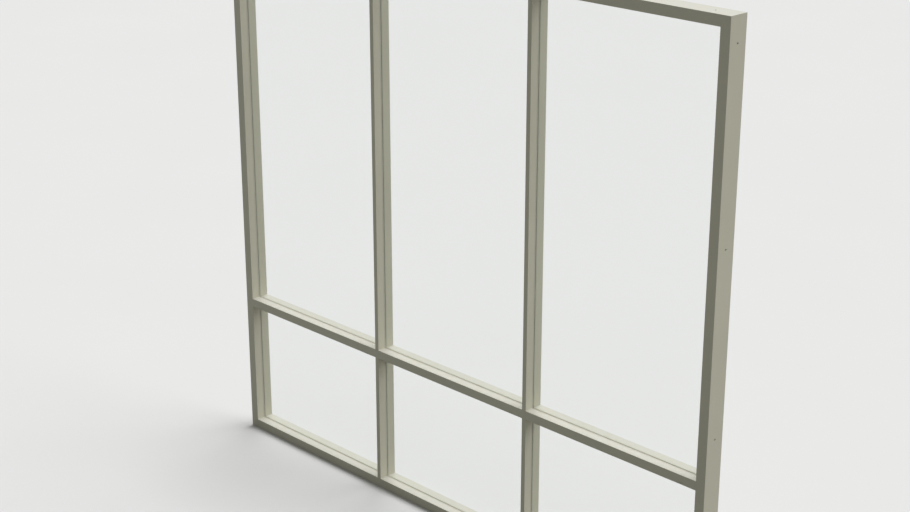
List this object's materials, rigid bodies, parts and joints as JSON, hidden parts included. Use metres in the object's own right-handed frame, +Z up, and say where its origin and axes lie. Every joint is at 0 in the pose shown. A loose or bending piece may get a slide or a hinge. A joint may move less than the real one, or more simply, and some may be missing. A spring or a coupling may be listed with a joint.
{
  "type": "fixed window",
  "caption": "Fixed metal window frame with equal glazed bays, slim upright bars and one low transom.",
  "frame": {"origin": "middle of the sill's underside, at half the frame's depth", "axes": "+X across the window to the right as seen from outdoors, +Y into the room, +Z up"},
  "size_m": [3, 0.1016, 2.69],
  "materials": {
    "frame_paint": "satin",
    "glass": "polished",
    "gasket": "matte",
    "cleat": "satin",
    "block": "matte"
  },
  "bodies": {
    "root": {"sill": "frame_paint", "head": "frame_paint", "jamb_left": "frame_paint", "jamb_right": "frame_paint", "transom": "frame_paint", "mullion_lower_left": "frame_paint", "mullion_lower_right": "frame_paint", "mullion_upper_left": "frame_paint", "mullion_upper_right": "frame_paint", "beads_lower_centre": "frame_paint", "beads_lower_left": "frame_paint", "beads_lower_right": "frame_paint", "beads_upper_centre": "frame_paint", "beads_upper_left": "frame_paint", "beads_upper_right": "frame_paint", "corner_cleats": "cleat", "gasket_inner_lower_centre": "gasket", "gasket_inner_lower_left": "gasket", "gasket_inner_lower_right": "gasket", "gasket_inner_upper_centre": "gasket", "gasket_inner_upper_left": "gasket", "gasket_inner_upper_right": "gasket", "gasket_outer_lower_centre": "gasket", "gasket_outer_lower_left": "gasket", "gasket_outer_lower_right": "gasket", "gasket_outer_upper_centre": "gasket", "gasket_outer_upper_left": "gasket", "gasket_outer_upper_right": "gasket", "mullion_spigots_lower": "cleat", "mullion_spigots_upper": "cleat", "pane_lower_centre": "glass", "pane_lower_left": "glass", "pane_lower_right": "glass", "pane_upper_centre": "glass", "pane_upper_left": "glass", "pane_upper_right": "glass", "setting_blocks_lower_centre": "block", "setting_blocks_lower_left": "block", "setting_blocks_lower_right": "block", "setting_blocks_upper_centre": "block", "setting_blocks_upper_left": "block", "setting_blocks_upper_right": "block", "transom_spigots": "cleat"}
  },
  "joints": []
}
